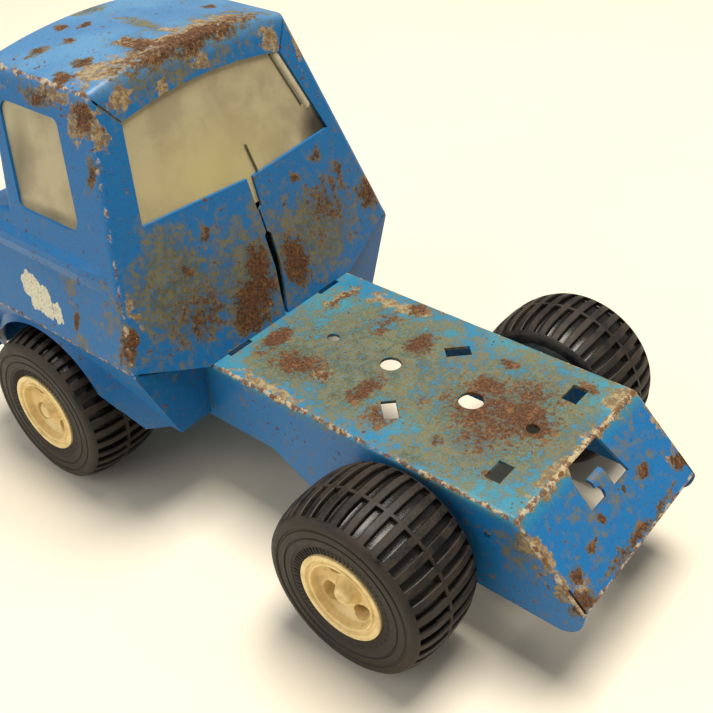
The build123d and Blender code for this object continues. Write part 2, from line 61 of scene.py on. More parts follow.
DECK_Z = 49.6
DECK_HALF = 33.4
DECK_FOLD_Y = 90.9
TAIL_END = (112.5, 29.0)
ROOF_REAR = (40.25, -46.0, 132.85)
BELT_REAR = (60.1, -20.7, 60.3)
ROOF_CROWN = 4.0
SHEET = 0.9


def on_deck(x, y):
    """A place on the deck."""
    return x, y, DECK_Z


def on_tail(x, drop):
    """A place on the sloping tail, drop below its fold along the sheet."""
    run = TAIL_END[0] - DECK_FOLD_Y
    fall = DECK_Z - TAIL_END[1]
    length = math.hypot(run, fall)
    return x, DECK_FOLD_Y + drop * run / length, DECK_Z - drop * fall / length


def on_back(x, drop):
    """A place on the cab's leaning back, drop below the roof along the sheet."""
    run = BELT_REAR[1] - ROOF_REAR[1]
    fall = ROOF_REAR[2] - BELT_REAR[2]
    length = math.hypot(run, fall)
    return x, ROOF_REAR[1] + drop * run / length, ROOF_REAR[2] - drop * fall / length


def on_side(y, drop):
    """A place on the cab's left side, drop below the roof along the sheet."""
    run = BELT_REAR[0] - ROOF_REAR[0]
    fall = ROOF_REAR[2] - BELT_REAR[2]
    length = math.hypot(run, fall)
    return ROOF_REAR[0] + drop * run / length, y, ROOF_REAR[2] - drop * fall / length


def on_roof(x, y):
    """A place on the crowned roof."""
    return x, y, ROOF_REAR[2] + ROOF_CROWN * (1 - (x / ROOF_REAR[0]) ** 2)


def tint(red, green, blue):
    """A colour from its everyday 0 to 255 values."""
    def linear(value):
        value /= 255
        return value / 12.92 if value <= 0.04045 else ((value + 0.055) / 1.055) ** 2.4
    return linear(red), linear(green), linear(blue)


# Node building -------------------------------------------------------------------------------

class Graph:
    """Short calls that add shader nodes to one material and return their outputs."""

    def __init__(self, name):
        self.material = bpy.data.materials.new(name)
        self.material.use_nodes = True
        self.tree = self.material.node_tree
        self.tree.nodes.clear()
        self.out = self.tree.nodes.new("ShaderNodeOutputMaterial")
        place = self.node("ShaderNodeTexCoord").outputs["Object"]
        self.place = self.vector("MULTIPLY", place, (1 / MM,) * 3)

    def node(self, kind, **settings):
        made = self.tree.nodes.new(kind)
        for key, value in settings.items():
            setattr(made, key, value)
        return made

    def feed(self, socket, value):
        if isinstance(value, bpy.types.NodeSocket):
            self.tree.links.new(value, socket)
        elif value is not None:
            if socket.type == "RGBA" and len(value) == 3:
                value = (*value, 1.0)
            socket.default_value = value

    def math(self, operation, a, b=None, c=None, clamp=False):
        made = self.node("ShaderNodeMath", operation=operation, use_clamp=clamp)
        for socket, value in zip(made.inputs, (a, b, c)):
            self.feed(socket, value)
        return made.outputs[0]

    def vector(self, operation, a, b=None, c=None):
        made = self.node("ShaderNodeVectorMath", operation=operation)
        for socket, value in zip(made.inputs, (a, b, c)):
            self.feed(socket, value)
        plain = operation in ("LENGTH", "DOT_PRODUCT", "DISTANCE")
        return made.outputs["Value" if plain else "Vector"]

    def noise(self, size, detail=4.0, rough=0.55, at=None, colour=False):
        """Noise whose features are about size millimetres across."""
        made = self.node("ShaderNodeTexNoise")
        self.feed(made.inputs["Vector"], at or self.place)
        self.feed(made.inputs["Scale"], 1 / size)
        self.feed(made.inputs["Detail"], detail)
        self.feed(made.inputs["Roughness"], rough)
        return made.outputs["Color" if colour else "Fac"]

    def wander(self, size, reach, at=None):
        """The place, pushed about by noise of this size, so that outlines become ragged."""
        push = self.vector("SUBTRACT", self.noise(size, at=at, colour=True), (0.5, 0.5, 0.5))
        return self.vector("MULTIPLY_ADD", push, (reach,) * 3, at or self.place)

    def step(self, value, low, high):
        """0 below low, 1 above high, smooth between."""
        made = self.node("ShaderNodeMapRange", interpolation_type="SMOOTHSTEP")
        self.feed(made.inputs["Value"], value)
        self.feed(made.inputs["From Min"], low)
        self.feed(made.inputs["From Max"], high)
        return made.outputs["Result"]

    def span(self, value, low, high):
        """Carries 0 to 1 over to low to high."""
        return self.math("MULTIPLY_ADD", value, high - low, low)

    def mix(self, fac, a, b):
        made = self.node("ShaderNodeMix", data_type="RGBA")
        self.feed(made.inputs["Factor"], fac)
        self.feed(made.inputs[6], a)
        self.feed(made.inputs[7], b)
        return made.outputs[2]

    def axes(self, at=None):
        made = self.node("ShaderNodeSeparateXYZ")
        self.feed(made.inputs[0], at or self.place)
        return made.outputs["X"], made.outputs["Y"], made.outputs["Z"]

    def spots(self, at, spots):
        """Soft ellipsoids joined together, each a (centre, radii, strength)."""
        field = None
        for centre, radii, strength in spots:
            shrink = [1 / radius for radius in radii]
            shift = [-place * by for place, by in zip(centre, shrink)]
            reach = self.vector("LENGTH", self.vector("MULTIPLY_ADD", at, shrink, shift))
            blob = self.math("MULTIPLY_ADD", reach, -strength, 1.5 * strength, clamp=True)
            field = blob if field is None else self.math("MAXIMUM", field, blob)
        return field

    def lines(self, at, lines):
        """Soft bands along straight folds, each a (start, end, width, strength)."""
        field = None
        for start, end, width, strength in lines:
            along = (Vector(end) - Vector(start)).normalized()
            offset = self.vector("SUBTRACT", at, start)
            away = self.vector("LENGTH", self.vector("CROSS_PRODUCT", offset, tuple(along)))
            band = self.math("MULTIPLY_ADD", away, -strength / width, strength, clamp=True)
            field = band if field is None else self.math("MAXIMUM", field, band)
        return field

    def ragged(self, field, noise, amount, low, high):
        """A mask where the field, broken up by noise, rises from low to high."""
        broken = self.math("MULTIPLY_ADD", noise, amount, self.math("SUBTRACT", field, amount / 2))
        return self.step(broken, low, high)

    def bump(self, height, strength, distance, normal=None):
        made = self.node("ShaderNodeBump")
        self.feed(made.inputs["Strength"], strength)
        self.feed(made.inputs["Distance"], distance * MM)
        self.feed(made.inputs["Height"], height)
        self.feed(made.inputs["Normal"], normal)
        return made.outputs["Normal"]

    def surface(self, **values):
        """Ends the material in one Principled shader."""
        shader = self.node("ShaderNodeBsdfPrincipled")
        for key, value in values.items():
            self.feed(shader.inputs[key.replace("_", " ")], value)
        self.feed(self.out.inputs["Surface"], shader.outputs["BSDF"])
        return self.material


def assign(piece, material):
    """Gives a whole piece one material."""
    piece.data.materials.clear()
    piece.data.materials.append(material)


# Enamel --------------------------------------------------------------------------------------

RUST_DEEP = tint(52, 32, 18)
RUST = tint(104, 64, 30)
RUST_PALE = tint(142, 102, 58)
PRIMER = tint(166, 146, 102)
PRIMER_BROWN = tint(122, 94, 54)
OLIVE = tint(84, 78, 34)
OLIVE_PALE = tint(116, 106, 58)
# Painted highlight: the colour of the glinting specks on worn steel and rust.
PAINTED_GLINT = tint(206, 184, 152)
GRIME = tint(24, 40, 52)


def enamel(name, fresh, aged, rust, tan, stain, folds, fold_wear_and_highlight, base_rust=0.1, base_stain=0.2,
           sides=None, decal=None):
    """Old enamel on steel, with rust, pale worn primer, olive stains, folds pale from rubbed wear and
    painted highlight, and painted glints.

    sides is the deeper colour of what lies low, with the heights where it ends, and decal the
    place of a worn label."""
    g = Graph(name)
    near = g.wander(9, 8)
    near = g.wander(2.4, 3.2, near)
    grain = g.noise(0.8, 5, 0.7)
    patch = g.noise(3.4, 5, 0.66)
    cloud = g.noise(24, 3, 0.5)

    colour = g.mix(g.step(cloud, 0.38, 0.64), fresh, aged)
    if sides:
        low_colour, low, high = sides
        colour = g.mix(g.step(g.axes()[2], low, high), low_colour, colour)
    colour = g.mix(g.math("MULTIPLY", g.step(grain, 0.52, 0.70), 0.42), colour, GRIME)

    rusting = g.spots(near, rust)
    halo = g.math("MULTIPLY", rusting, 1.15)
    stained = g.math("MAXIMUM", g.math("MAXIMUM", g.spots(near, stain), halo), base_stain)
    stained = g.ragged(stained, patch, 2.2, 0.12, 0.70)
    speckled = g.math("MULTIPLY", stained, g.span(g.step(grain, 0.40, 0.50), 0.25, 0.95))
    colour = g.mix(speckled, colour, g.mix(g.step(patch, 0.35, 0.62), OLIVE, OLIVE_PALE))

    pale = g.ragged(g.spots(near, tan), patch, 2.0, 0.44, 0.70)
    pale = g.math("MULTIPLY", pale, g.span(g.step(grain, 0.34, 0.50), 0.2, 1.0))
    colour = g.mix(pale, colour, g.mix(g.step(g.noise(1.8, 5, 0.7), 0.40, 0.62), PRIMER_BROWN, PRIMER))

    red = g.math("MAXIMUM", rusting, base_rust)
    red = g.ragged(red, g.mix(0.5, patch, g.noise(1.5, 5, 0.7)), 3.6, 0.36, 0.80)
    freckle = g.math("MULTIPLY", g.step(g.noise(1.6, 3, 0.5), 0.63, 0.68),
                     g.step(g.noise(15, 2, 0.5), 0.44, 0.58))
    red = g.math("MAXIMUM", red, freckle)
    rust_tone = g.mix(g.step(grain, 0.40, 0.60), RUST_DEEP, RUST)
    rust_tone = g.mix(g.math("MULTIPLY", g.step(patch, 0.54, 0.70), 0.6), rust_tone, RUST_PALE)
    colour = g.mix(red, colour, rust_tone)

    if decal:
        left = g.ragged(g.spots(near, decal), g.noise(2.6, 4, 0.6), 0.5, 0.44, 0.50)
        paper = g.mix(g.step(grain, 0.34, 0.52), tint(160, 158, 136), tint(212, 208, 184))
        colour = g.mix(left, colour, paper)

    # Pale bands along the folds: partly rubbed wear, partly painted highlight where the folds catch
    # the light.
    rubbed_and_highlit = g.ragged(g.lines(g.wander(2.4, 1.6), folds), g.noise(3.5, 5, 0.7), 1.7, 0.34, 0.62)
    fold_wear_and_highlight_tone = g.mix(g.step(g.noise(2.2, 4, 0.7), 0.44, 0.58), RUST, fold_wear_and_highlight)
    colour = g.mix(g.math("MULTIPLY", rubbed_and_highlit, 0.85), colour, fold_wear_and_highlight_tone)
    worn = g.math("MAXIMUM", g.math("MAXIMUM", red, pale), rubbed_and_highlit)
    # Painted highlights: pale specks on worn places, where rust grains and bare steel catch the light.
    painted_glint = g.math("MULTIPLY", worn, g.step(g.noise(0.9, 4, 0.7), 0.67, 0.71))
    colour = g.mix(painted_glint, colour, PAINTED_GLINT)

    rough = g.math("MULTIPLY_ADD", worn, 0.34, g.span(cloud, 0.30, 0.46))
    crust = g.math("MULTIPLY", worn, g.span(grain, -0.4, 1.0))
    height = g.math("ADD", crust, g.math("MULTIPLY", g.noise(0.7, 2), 0.10))
    normal = g.bump(cloud, 0.35, 0.8)
    normal = g.bump(height, 0.8, 0.18, normal)
    return g.surface(Base_Color=colour, Roughness=rough, Normal=normal, Specular_IOR_Level=0.38)


def ring_of(centre, radius, strength):
    """Rust that has crept out from the rim of a hole in the deck."""
    return (on_deck(*centre), (radius, radius, 5), strength)


def chassis_enamel():
    """Turquoise-blue enamel of the channel, rusted through on the deck and along its folds, with
    painted highlight lines along the folds.
    """
    deck_rust = [
        (on_deck(12, -10.4), (8, 3.4, 4), 0.9), (on_deck(17, 4), (8, 12, 4), 0.72),
        (on_deck(14, 28), (9, 4, 4), 0.85), (on_deck(-14, 27.5), (8, 5, 4), 0.85),
        (on_deck(22, 38), (6, 6, 4), 0.65), (on_deck(-15, 12), (9, 4, 4), 0.65),
        (on_deck(1, 64), (15, 19, 4), 0.72), (on_deck(-3, 72), (7, 10, 4), 1.0),
        (on_deck(-12, 68), (9, 12, 4), 0.62), (on_deck(12, 66), (8, 8, 4), 0.6),
        (on_deck(3, 60), (5, 4, 4), 1.0), (on_deck(-8, 56), (7, 6, 4), 0.8),
        (on_deck(19.5, 58), (3, 2.4, 4), 0.7), (on_deck(-22, 55), (3, 4, 4), 0.7),
        (on_deck(-28, 16), (4, 4, 4), 0.8), (on_deck(-19, -8), (11, 2.2, 4), 0.6),
        (on_deck(17, 14), (4, 3, 4), 0.7), (on_deck(-24, 80), (4, 5, 4), 0.6),
        (on_deck(8, 44), (5, 3, 4), 0.5), (on_deck(24, 75), (4, 2.5, 4), 0.6),
        ring_of((0, 26.4), 4.8, 0.55), ring_of((0, 55.6), 6.0, 0.8), ring_of((0, 76.1), 4.6, 0.9),
        ring_of((-17.4, 39.3), 5, 0.45), ring_of((17.4, 39.3), 5, 0.4),
        (on_tail(9, 17), (2, 1.6, 2), 1.0), (on_tail(-15, 17), (2.4, 2, 2), 1.0),
        (on_tail(-6, 16.5), (1.5, 1.2, 1.5), 1.0), (on_tail(27, 21), (3, 2.4, 2.4), 0.9),
        (on_tail(17, 19), (2, 1.5, 1.5), 0.8), (on_tail(-30, 24), (4, 3, 3), 0.9),
        (on_tail(31, 27), (4, 3, 3), 1.0), (on_tail(0, 27.5), (26, 1.6, 1.6), 0.65),
    ]
    tan = [
        (on_deck(30.5, 2), (2.4, 15, 4), 0.85), (on_deck(-27, 8), (4, 14, 4), 0.8),
        (on_deck(-20, -9), (12, 2.4, 4), 0.6), (on_deck(17, 13), (4, 4, 4), 0.8),
        ((0, 90, 49), (33, 2.4, 2.4), 0.75), ((-26, 89, 49), (8, 3.4, 3), 1.0),
        (on_deck(5, 66), (7, 9, 4), 0.5), (on_tail(0, 1.0), (30, 2.2, 2.2), 0.75),
        (on_tail(32.5, 12), (2.4, 9, 9), 0.7), (on_tail(-32.5, 12), (2.2, 9, 9), 0.7),
        (on_tail(-29, 23), (5, 4, 4), 0.7), (on_tail(29, 24), (5, 4, 4), 0.6),
        ((33.4, 96, 44), (2, 6, 6), 0.8), ((33.4, 106, 34), (2, 5, 5), 0.8),
        (on_deck(-5, 36), (4, 4, 4), 0.4),
    ]
    stain = [
        (on_deck(0, 20), (34, 38, 4), 0.72), (on_deck(0, 66), (34, 30, 4), 0.80),
        (on_deck(12, 24), (18, 12, 4), 1.0), (on_deck(-2, 64), (20, 23, 4), 1.0),
        (on_deck(16, 2), (14, 16, 4), 0.95), (on_deck(28, 54), (3.5, 3, 4), 0.9),
        (on_deck(30, 56), (3, 8, 4), 0.8), (on_deck(-18, 6), (12, 10, 4), 0.6),
        (on_tail(0, 13), (30, 10, 10), 0.34), ((33.4, 94, 42), (2, 7, 9), 0.7),
    ]
    # Fold lines: rubbed wear along the folds, and painted highlight where they catch the light.
    left_fold = DECK_HALF - 0.3
    folds = [
        ((left_fold, 0, DECK_Z), (left_fold, 50, DECK_Z), 1.7, 1.0),
        ((-left_fold, 0, DECK_Z), (-left_fold, 50, DECK_Z), 1.7, 0.9),
        ((0, DECK_FOLD_Y, DECK_Z), (9, DECK_FOLD_Y, DECK_Z), 1.8, 0.95),
        ((left_fold, DECK_FOLD_Y, DECK_Z), (left_fold, *TAIL_END), 1.5, 1.0),
        ((-left_fold, DECK_FOLD_Y, DECK_Z), (-left_fold, *TAIL_END), 1.5, 0.9),
        ((0, *TAIL_END), (9, *TAIL_END), 1.3, 0.9),
    ]
    return enamel("chassis_enamel", tint(42, 122, 160), tint(60, 136, 156), deck_rust, tan, stain,
                  folds, tint(190, 172, 136), base_rust=0.1, base_stain=0.08,
                  sides=(tint(22, 110, 172), DECK_Z - 4, DECK_Z - 0.5))


def cab_enamel():
    """Blue enamel of the cab, rusted round the roof's edge, the folds and the open seam, with painted
    highlight along the folds and a painted sheen that makes the roof paler.
    """
    rust = [
        (on_roof(0, -48), (40, 5.5, 6), 0.70), (on_roof(12, -56), (6, 8, 4), 0.7),
        (on_roof(37, -60), (3, 3.5, 3), 1.0), (on_roof(16, -87), (2.4, 2, 3), 0.9),
        (on_roof(10, -82), (2, 1.6, 3), 1.0), (on_roof(20.7, -77), (2, 2, 3), 0.8),
        (on_roof(28, -62.5), (3, 2.4, 3), 0.8), (on_roof(-27, -66), (3, 2, 3), 0.8),
        (on_roof(44, -75), (3, 3, 4), 0.7), (on_roof(30, -80), (4, 2.4, 3), 0.7),
        (on_back(14, 80), (6, 7, 7), 1.0), (on_back(8, 76), (10, 6, 7), 1.0),
        (on_back(3, 68), (5, 7, 8), 0.95), (on_back(-12, 74), (6, 8, 9), 1.0),
        (on_back(30, 72), (14, 8, 12), 0.5), (on_back(-34, 62), (14, 8, 12), 0.5),
        (on_back(-13, 77), (3, 3, 3), 1.0), (on_back(-26, 70), (8, 8, 8), 0.36),
        (on_back(-53, 67), (6, 5, 6), 0.75), (on_back(-43, 54), (2.4, 2.4, 2.4), 0.9),
        (on_back(12, 85), (10, 3, 3), 0.6), (on_back(35, 73), (6, 3, 3), 0.5),
        (on_back(-22, 50), (2, 2, 2), 0.8), (on_back(20, 50), (2.4, 2, 2), 0.7),
        (on_back(30, 58), (2.4, 3, 3), 0.6), (on_back(-34, 47), (3, 2, 2), 0.7),
        (on_side(-47, 6), (3, 5, 6), 0.8), (on_side(-47, 67), (3, 1.8, 4), 0.8),
        (on_side(-24, 66), (3, 3, 8), 0.8), (on_side(-66, 5), (2, 8, 3), 0.7),
        (on_side(-43, 20), (3, 2, 8), 0.6),
    ]
    tan = [
        (on_roof(0, -50), (40, 7, 6), 0.80), (on_roof(12, -60), (4, 5, 4), 0.8),
        (on_roof(-2, -58), (3, 5, 4), 0.7), (on_roof(30, -54), (9, 7, 4), 0.8),
        (on_back(30, 4), (5, 4, 4), 0.9), (on_back(15, 6), (3, 4, 4), 0.8),
        (on_back(-2, 3), (5, 4, 4), 0.8), (on_back(-31, 6), (4, 5, 5), 0.9),
        (on_back(41, 8), (3, 6, 8), 0.9), (on_back(-41, 10), (2.4, 8, 10), 0.8),
        (on_side(-49, 8), (3, 5, 8), 0.9), (on_side(-60, 3), (3, 12, 3), 0.75),
        (on_side(-22, 50), (3, 3, 12), 0.6), (on_back(52, 60), (2, 4, 12), 0.7),
        (on_back(-56, 62), (3, 3, 10), 0.7), (on_side(-85, 4), (3, 7, 3), 0.5),
    ]
    stain = [
        (on_back(0, 68), (58, 12, 20), 0.54), (on_back(-27, 69), (14, 10, 14), 1.0),
        (on_back(36, 60), (16, 8, 22), 0.8), (on_side(-50, 58), (3, 4, 4), 0.5),
        (on_side(-43, 73), (3, 4, 3), 0.5), (on_roof(0, -67), (3, 12, 4), 0.6),
        (on_roof(1, -92), (6, 3, 4), 0.8), (on_roof(-20, -52), (20, 8, 5), 0.5),
        (on_back(10, 3), (36, 5, 5), 0.5), (on_side(-30, 60), (3, 10, 14), 0.4),
    ]
    top, belt = Vector(ROOF_REAR), Vector(BELT_REAR)
    across = Vector((-1, 1, 1))
    # Fold lines: rubbed wear, and painted highlight where the folds catch the light.
    folds = [
        (tuple(top), tuple(belt), 1.7, 1.0),
        (tuple(top * across), tuple(belt * across), 1.6, 0.9),
        ((ROOF_REAR[0], 0, ROOF_REAR[2]), (ROOF_REAR[0], 9, ROOF_REAR[2]), 1.7, 0.9),
        ((-ROOF_REAR[0], 0, ROOF_REAR[2]), (-ROOF_REAR[0], 9, ROOF_REAR[2]), 1.7, 0.8),
        ((BELT_REAR[0], 0, BELT_REAR[2]), (BELT_REAR[0], 9, BELT_REAR[2]), 1.0, 0.75),
    ]
    decal = [(on_side(-69, 63), (4, 4.4, 3.6), 1.1), (on_side(-64, 66), (5, 4.8, 3.8), 1.1),
             (on_side(-60, 69), (4, 3.2, 3.2), 1.0), (on_side(-55, 68), (3, 2.0, 3.4), 1.0)]
    # The paler blues above the roof line are a painted sheen of the overhead light; below it the
    # deeper blue is the paint.
    return enamel("cab_enamel", tint(74, 126, 174), tint(92, 142, 182), rust, tan, stain,
                  folds, tint(186, 168, 138), base_rust=0.02, base_stain=0.0,
                  sides=(tint(18, 104, 164), ROOF_REAR[2] - 4, ROOF_REAR[2] + 1), decal=decal)


def bumper_enamel():
    """Blue enamel of the bumper, chipped along its edges, the pale edge lines partly painted
    highlight.
    """
    edge_y, high, low = -112.0, 43.0, 29.0
    folds = [((0, edge_y, high), (9, edge_y, high), 1.5, 1.0),
             ((0, edge_y, low), (9, edge_y, low), 1.5, 1.0)]
    rust = [((30, edge_y, 34), (9, 3, 5), 0.5), ((-45, edge_y, 38), (8, 4, 4), 0.6)]
    tan = [((10, edge_y, 41), (12, 3, 2), 0.6)]
    stain = [((-20, edge_y, 36), (20, 4, 6), 0.4)]
    return enamel("bumper_enamel", tint(50, 110, 160), tint(76, 134, 172), rust, tan, stain, folds,
                  tint(200, 186, 160))


# Rubber, plastics and steel ------------------------------------------------------------------

def rubber():
    """Old soft tyre: brown-black, dusty on what stands proud, darker and shiny down in the grooves,
    the darkness there partly painted shade.
    """
    g = Graph("tyre_rubber")
    patch = g.noise(7, 4, 0.6)
    grain = g.noise(0.8, 5, 0.7)
    dust_and_groove_shade = g.step(g.math("MULTIPLY_ADD", grain, 0.7, patch), 0.66, 1.0)
    proud = g.node("ShaderNodeAttribute", attribute_name="proud").outputs["Fac"]
    # Dust kept off the grooves, so they stay darker: partly dust, partly painted shade in the
    # recesses.
    dust_and_groove_shade = g.math("MULTIPLY", dust_and_groove_shade, g.span(proud, 0.15, 1.0))
    colour = g.mix(dust_and_groove_shade, tint(15, 13, 13), tint(52, 43, 34))
    rough = g.math("MULTIPLY_ADD", dust_and_groove_shade, 0.25, g.span(proud, 0.24, 0.44))
    normal = g.bump(g.math("ADD", grain, g.math("MULTIPLY", g.noise(0.4, 2), 0.5)), 0.5, 0.10)
    return g.surface(Base_Color=colour, Roughness=rough, Normal=normal, Specular_IOR_Level=0.38)


def hub_plastic():
    """Cream moulded plastic, browner where dirt has gathered."""
    g = Graph("hub_cream")
    patch = g.noise(5, 4, 0.6)
    dirt = g.step(g.math("MULTIPLY_ADD", g.noise(1.4, 5, 0.65), 0.6, patch), 0.72, 1.1)
    colour = g.mix(g.step(patch, 0.35, 0.65), tint(240, 214, 152), tint(230, 202, 138))
    colour = g.mix(g.math("MULTIPLY", dirt, 0.4), colour, tint(160, 132, 80))
    rough = g.math("MULTIPLY_ADD", dirt, 0.3, 0.34)
    normal = g.bump(g.noise(1.2, 4), 0.3, 0.06)
    return g.surface(Base_Color=colour, Roughness=rough, Normal=normal,
                     Subsurface_Weight=0.12, Subsurface_Radius=(0.004, 0.003, 0.0015),
                     Subsurface_Scale=0.5)


def moulded(name, light, dark, roughness, size=4.0):
    """Plain moulded plastic with aged patches, fine grain and a little dirt."""
    g = Graph(name)
    patch = g.noise(size, 4, 0.6)
    dirt = g.step(g.noise(1.1, 5, 0.7), 0.56, 0.75)
    colour = g.mix(g.step(patch, 0.35, 0.68), light, dark)
    colour = g.mix(g.math("MULTIPLY", dirt, 0.35), colour, tint(92, 80, 60))
    rough = g.span(patch, roughness - 0.06, roughness + 0.12)
    return g.surface(Base_Color=colour, Roughness=rough, Normal=g.bump(g.noise(0.9, 3), 0.3, 0.05))


def clouded_window():
    """Clear plastic gone yellow and cloudy, painted paler where light shows through its middle, and
    clearer and darker at its far lower corner, painted shade of the cab's dark inside.
    """
    g = Graph("clouded_window")
    near = g.wander(14, 5)
    cloud = g.noise(16, 4, 0.55)
    tone = g.mix(g.step(cloud, 0.38, 0.62), tint(168, 154, 122), tint(190, 178, 140))
    # Painted light: a paler patch in the back window where light from beyond shows through.
    light_through_patch = g.spots(near, [(on_back(8, 36), (26, 12, 14), 0.55)])
    tone = g.mix(light_through_patch, tone, tint(204, 190, 128))
    # Painted shade: the far lower corner darkened where the unlit inside of the cab shows through; two
    # spots on the side window are darkened too.
    dark = g.spots(near, [(on_back(-42, 38), (8, 7, 7), 1.0), (on_side(-76, 25), (5, 5, 14), 0.4),
                          (on_side(-58, 39), (5, 16, 2), 0.45)])
    tone = g.mix(g.math("MULTIPLY", dark, 0.9), tone, tint(50, 46, 36))
    haze = g.span(g.noise(3, 5, 0.7), 0.30, 0.52)
    clear = g.math("MULTIPLY_ADD", dark, 0.35, 0.12)
    return g.surface(Base_Color=tone, Roughness=haze, Transmission_Weight=clear,
                     Normal=g.bump(g.noise(9, 3), 0.25, 0.3), IOR=1.49)


def steel(name, tone, rust_share):
    """Dull steel with light rust."""
    g = Graph(name)
    grain = g.noise(1.6, 6, 0.7)
    rusty = g.step(grain, 0.62 - rust_share, 0.74 - rust_share)
    colour = g.mix(rusty, tone, g.mix(g.noise(0.8), RUST_DEEP, RUST))
    metal = g.span(rusty, 0.9, 0.1)
    rough = g.span(rusty, 0.38, 0.85)
    return g.surface(Base_Color=colour, Metallic=metal, Roughness=rough,
                     Normal=g.bump(grain, 0.5, 0.08))


# Wheels --------------------------------------------------------------------------------------

LUGS = 36
# One pitch of the tread: share of the pitch, then 0 in the groove to 1 on top of the rib
PITCH = ((0.00, 0), (0.14, 0), (0.21, 0.06), (0.25, 0.85), (0.30, 1),
         (0.50, 1), (0.70, 1), (0.75, 0.85), (0.79, 0.06), (0.86, 0))
GROOVE = 1.5
HUB_INSET = 3.0
CENTRE_RIB = 1.6
TICKS_PER_LUG = 2
TICK_RISE = 0.3
CROWN_DROP = 2.7
BORE_RADIUS = 13.6
SMOOTH_TYRE = 32


def tread_section(half, radius):
    """Tyre section from the inner bead round to the outer one and back through the bore.

    Each point is (across, radius, groove share, tick share): across runs from -half, inside,
    to half, outside. Groove share 1 lets the cross grooves cut in."""
    def crown(x, groove=0.0):
        return x, radius - CROWN_DROP * abs(x / half) ** 3, groove, 0

    points = [(HUB_INSET - half, BORE_RADIUS, 0, 0), (HUB_INSET - half, 20.4, 0, 0),
              (2.7 - half, 20.8, 0, 0),
              (0.5 - half, 20.8, 0, 0), (0.1 - half, 21.3, 0, 0), (0.0 - half, 22.0, 0, 0),
              (0.0 - half, 23.3, 0, 0), (0.35 - half, 24.2, 0, 0)]
    points += [crown(0.9 - half), crown(1.1 - half), crown(1.3 - half, 0.9), crown(1.6 - half, 1)]
    rib_in, rib_out = CENTRE_RIB - 0.65, CENTRE_RIB + 0.65
    steps = 6
    start, end = 2.2 - half, rib_in - 0.9
    points += [crown(start + (end - start) * k / steps, 1) for k in range(steps + 1)]
    points += [crown(rib_in - 0.2, 1), crown(rib_in, 0.9), crown(rib_in + 0.14),
               crown(CENTRE_RIB), crown(rib_out - 0.14), crown(rib_out, 0.9),
               crown(rib_out + 0.2, 1)]
    start, end = rib_out + 0.9, half - 2.6
    points += [crown(start + (end - start) * k / steps, 1) for k in range(steps + 1)]
    points += [crown(half - 2.0, 1), crown(half - 1.7, 0.85), crown(half - 1.5),
               crown(half - 0.9), (half - 0.45, 24.2, 0, 0)]
    points += [(half - 0.1, 23.4, 0, 0), (half, 22.6, 0, 0), (half, 22.2, 0, 0),
               (half - 0.35, 21.9, 0, 0), (half - 0.35, 21.5, 0, 0), (half, 21.2, 0, 0),
               (half, 19.4, 0, 0), (half - 0.3, 19.2, 0, 0), (half - 0.3, 18.9, 0, 0),
               (half, 18.7, 0, 0), (half - 0.05, 16.9, 0, 0), (half - 0.3, 16.6, 0, 0),
               (half - 0.3, 16.2, 0, 0.2), (half - 0.1, 15.9, 0, 1), (half - 0.15, 14.3, 0, 1),
               (half - 0.5, 13.9, 0, 0.3), (half - 0.9, BORE_RADIUS, 0, 0),
               (0.0, BORE_RADIUS, 0, 0)]
    return points


def revolved(name, section, angles, shift, side, centre):
    """Closed mesh of a section turned about the axle line. shift says how far a point moves in."""
    mesh = bpy.data.meshes.new(name)
    vertices = []
    proud = []
    for index, angle in enumerate(angles):
        for x, radius, groove, tick in section:
            dip, lift = shift(index, groove, tick)
            reach = radius - dip
            vertices.append((side * (x - lift) * MM + centre.x,
                             centre.y + reach * math.cos(angle) * MM,
                             centre.z + reach * math.sin(angle) * MM))
            proud.append(1 - dip / GROOVE)
    faces = []
    rows, count = len(angles), len(section)
    for i in range(rows):
        for j in range(count):
            ring = [i * count + j, i * count + (j + 1) % count,
                    (i + 1) % rows * count + (j + 1) % count, (i + 1) % rows * count + j]
            faces.append(ring if side > 0 else ring[::-1])
    mesh.from_pydata(vertices, [], faces)
    mesh.attributes.new("proud", "FLOAT", "POINT").data.foreach_set("value", proud)
    return finished(name, mesh, SMOOTH_TYRE)


def finished(name, mesh, angle):
    """An object from a mesh, smooth but for edges sharper than the angle."""
    made = bmesh.new()
    made.from_mesh(mesh)
    bmesh.ops.recalc_face_normals(made, faces=made.faces)
    made.to_mesh(mesh)
    made.free()
    mesh.polygons.foreach_set("use_smooth", [True] * len(mesh.polygons))
    mesh.set_sharp_from_angle(angle=math.radians(angle))
    piece = bpy.data.objects.new(name, mesh)
    scene.collection.objects.link(piece)
    return piece


def wheel_middle(place):
    """Middle of a wheel's tyre, half its width and its radius in millimetres, and its side."""
    low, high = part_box("tyre_" + place)
    half = (high.x - low.x) / 2 / MM
    return (low + high) / 2, half, (high.z - low.z) / 2 / MM, 1 if low.x > 0 else -1


def tyre(place, material):
    """Wide tyre with two rows of cross ribs, a rib between them, rings and ticks on its side."""
    centre, half, radius, side = wheel_middle(place)
    angles = []
    heights = []
    for lug in range(LUGS):
        for share, height in PITCH:
            angles.append(2 * math.pi * (lug + share) / LUGS)
            heights.append(height)

    def shift(index, groove, tick):
        half_pitch = len(PITCH) // TICKS_PER_LUG
        ticked = index % half_pitch < half_pitch // 2
        return groove * GROOVE * (1 - heights[index]), tick * (TICK_RISE if ticked else 0.0)

    piece = revolved("tyre_ribbed_" + place, tread_section(half, radius), angles, shift, side, centre)
    assign(piece, material)
    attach(piece, place.split("_")[0] + "_wheelset")
    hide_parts("tyre_" + place)


